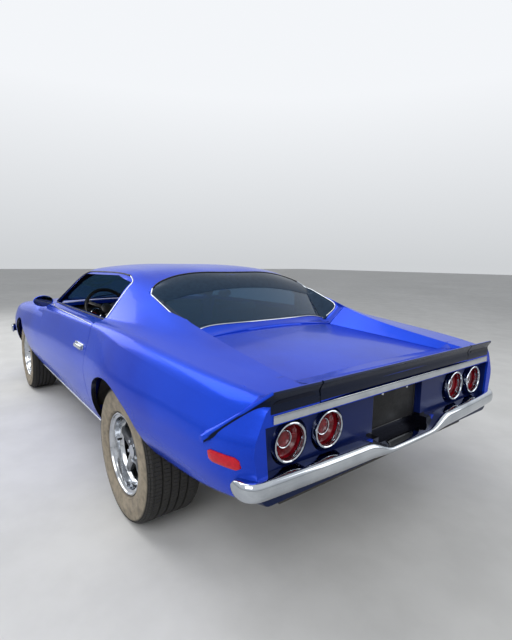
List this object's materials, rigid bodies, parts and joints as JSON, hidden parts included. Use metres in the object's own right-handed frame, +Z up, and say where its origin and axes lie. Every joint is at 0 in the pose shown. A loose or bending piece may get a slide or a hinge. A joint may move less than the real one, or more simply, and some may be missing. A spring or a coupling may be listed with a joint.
{
  "type": "two-door muscle car",
  "caption": "Two-door hardtop coupe with a fastback roof, round tail lamps, a lid spoiler, opening doors, hood and deck lid, steering and turning wheels.",
  "frame": {"origin": "on the ground under the middle of the overall box", "axes": "+X ahead, +Y to the car's left, +Z up"},
  "size_m": [4.7749, 1.894, 1.289],
  "materials": {
    "body_paint": "deep metallic blue with clear coat",
    "chrome": "polished chrome",
    "lamp_red": "clear red plastic in a bright ring",
    "lamp_marker": "clear red or amber plastic",
    "lamp_clear": "clear lamp in a bright ring",
    "grille_black": "satin black",
    "glass": "lightly tinted",
    "underbody": "black chassis paint",
    "tank_steel": "dull steel",
    "seat_trim": "black vinyl",
    "cabin_plastic": "black",
    "tyre_rubber": "rubber with dusty sidewalls",
    "wheel_alloy": "polished lip, grey spokes"
  },
  "bodies": {
    "body": {"marker_lamps": "lamp_marker", "front_fender_left": "body_paint", "front_fender_right": "body_paint", "nose_panel": "body_paint", "grille": "grille_black", "headlamps": "lamp_clear", "front_bumper": "chrome", "rear_bumper": "chrome", "cowl": "body_paint", "sill_left": "body_paint", "sill_right": "body_paint", "roof": "body_paint", "windshield": "glass", "rear_window": "glass", "quarter_left": "body_paint", "quarter_right": "body_paint", "tail_panel": "body_paint", "tail_lamps": "lamp_red", "spoiler_end_left": "body_paint", "spoiler_end_right": "body_paint", "floor_pan": "underbody", "front_frame": "underbody", "engine": "underbody", "front_suspension": "underbody", "rear_axle": "underbody", "fuel_tank": "tank_steel", "exhaust": "tank_steel", "dashboard": "cabin_plastic", "front_seats": "seat_trim", "rear_seat": "seat_trim", "parcel_shelf": "cabin_plastic", "steering_wheel": "cabin_plastic"},
    "door_left": {"door_left": "body_paint", "door_fittings_left": "chrome"},
    "door_right": {"door_right": "body_paint", "door_fittings_right": "chrome"},
    "hood": {"hood": "body_paint"},
    "deck_lid": {"deck_lid": "body_paint", "spoiler": "body_paint"},
    "knuckle_left": {"knuckle_left": "underbody"},
    "knuckle_right": {"knuckle_right": "underbody"},
    "wheel_front_left": {"rim_front_left": "wheel_alloy", "tyre_front_left": "tyre_rubber"},
    "wheel_front_right": {"rim_front_right": "wheel_alloy", "tyre_front_right": "tyre_rubber"},
    "wheel_rear_left": {"rim_rear_left": "wheel_alloy", "tyre_rear_left": "tyre_rubber"},
    "wheel_rear_right": {"rim_rear_right": "wheel_alloy", "tyre_rear_right": "tyre_rubber"}
  },
  "joints": [
    {"name": "door_left_hinge", "type": "hinge", "parent": "body", "child": "door_left", "pos_m": [0.4425, 0.9205, 0.65], "axis": [0, 0, -1], "range_deg": [0, 66]},
    {"name": "door_right_hinge", "type": "hinge", "parent": "body", "child": "door_right", "pos_m": [0.4425, -0.9205, 0.65], "axis": [0, 0, 1], "range_deg": [0, 66]},
    {"name": "hood_hinge", "type": "hinge", "parent": "body", "child": "hood", "pos_m": [0.7025, 0, 0.9525], "axis": [0, -1, 0], "range_deg": [0, 50]},
    {"name": "deck_lid_hinge", "type": "hinge", "parent": "body", "child": "deck_lid", "pos_m": [-1.4725, 0, 0.9445], "axis": [0, 1, 0], "range_deg": [0, 60]},
    {"name": "steer_left", "type": "hinge", "parent": "body", "child": "knuckle_left", "pos_m": [1.4325, 0.69, 0.3325], "axis": [0, 0, 1], "range_deg": [-32, 32]},
    {"name": "steer_right", "type": "hinge", "parent": "body", "child": "knuckle_right", "pos_m": [1.4325, -0.69, 0.3325], "axis": [0, 0, 1], "range_deg": [-32, 32]},
    {"name": "wheel_front_left_spin", "type": "hinge", "parent": "knuckle_left", "child": "wheel_front_left", "pos_m": [1.4325, 0.7545, 0.3325], "axis": [0, 1, 0], "continuous": true},
    {"name": "wheel_front_right_spin", "type": "hinge", "parent": "knuckle_right", "child": "wheel_front_right", "pos_m": [1.4325, -0.7545, 0.3325], "axis": [0, 1, 0], "continuous": true},
    {"name": "wheel_rear_left_spin", "type": "hinge", "parent": "body", "child": "wheel_rear_left", "pos_m": [-1.3105, 0.7295, 0.345], "axis": [0, 1, 0], "continuous": true},
    {"name": "wheel_rear_right_spin", "type": "hinge", "parent": "body", "child": "wheel_rear_right", "pos_m": [-1.3105, -0.7295, 0.345], "axis": [0, 1, 0], "continuous": true}
  ],
  "couplings": [
    {"joint": "steer_right", "follows": "steer_left", "ratio": 1}
  ]
}
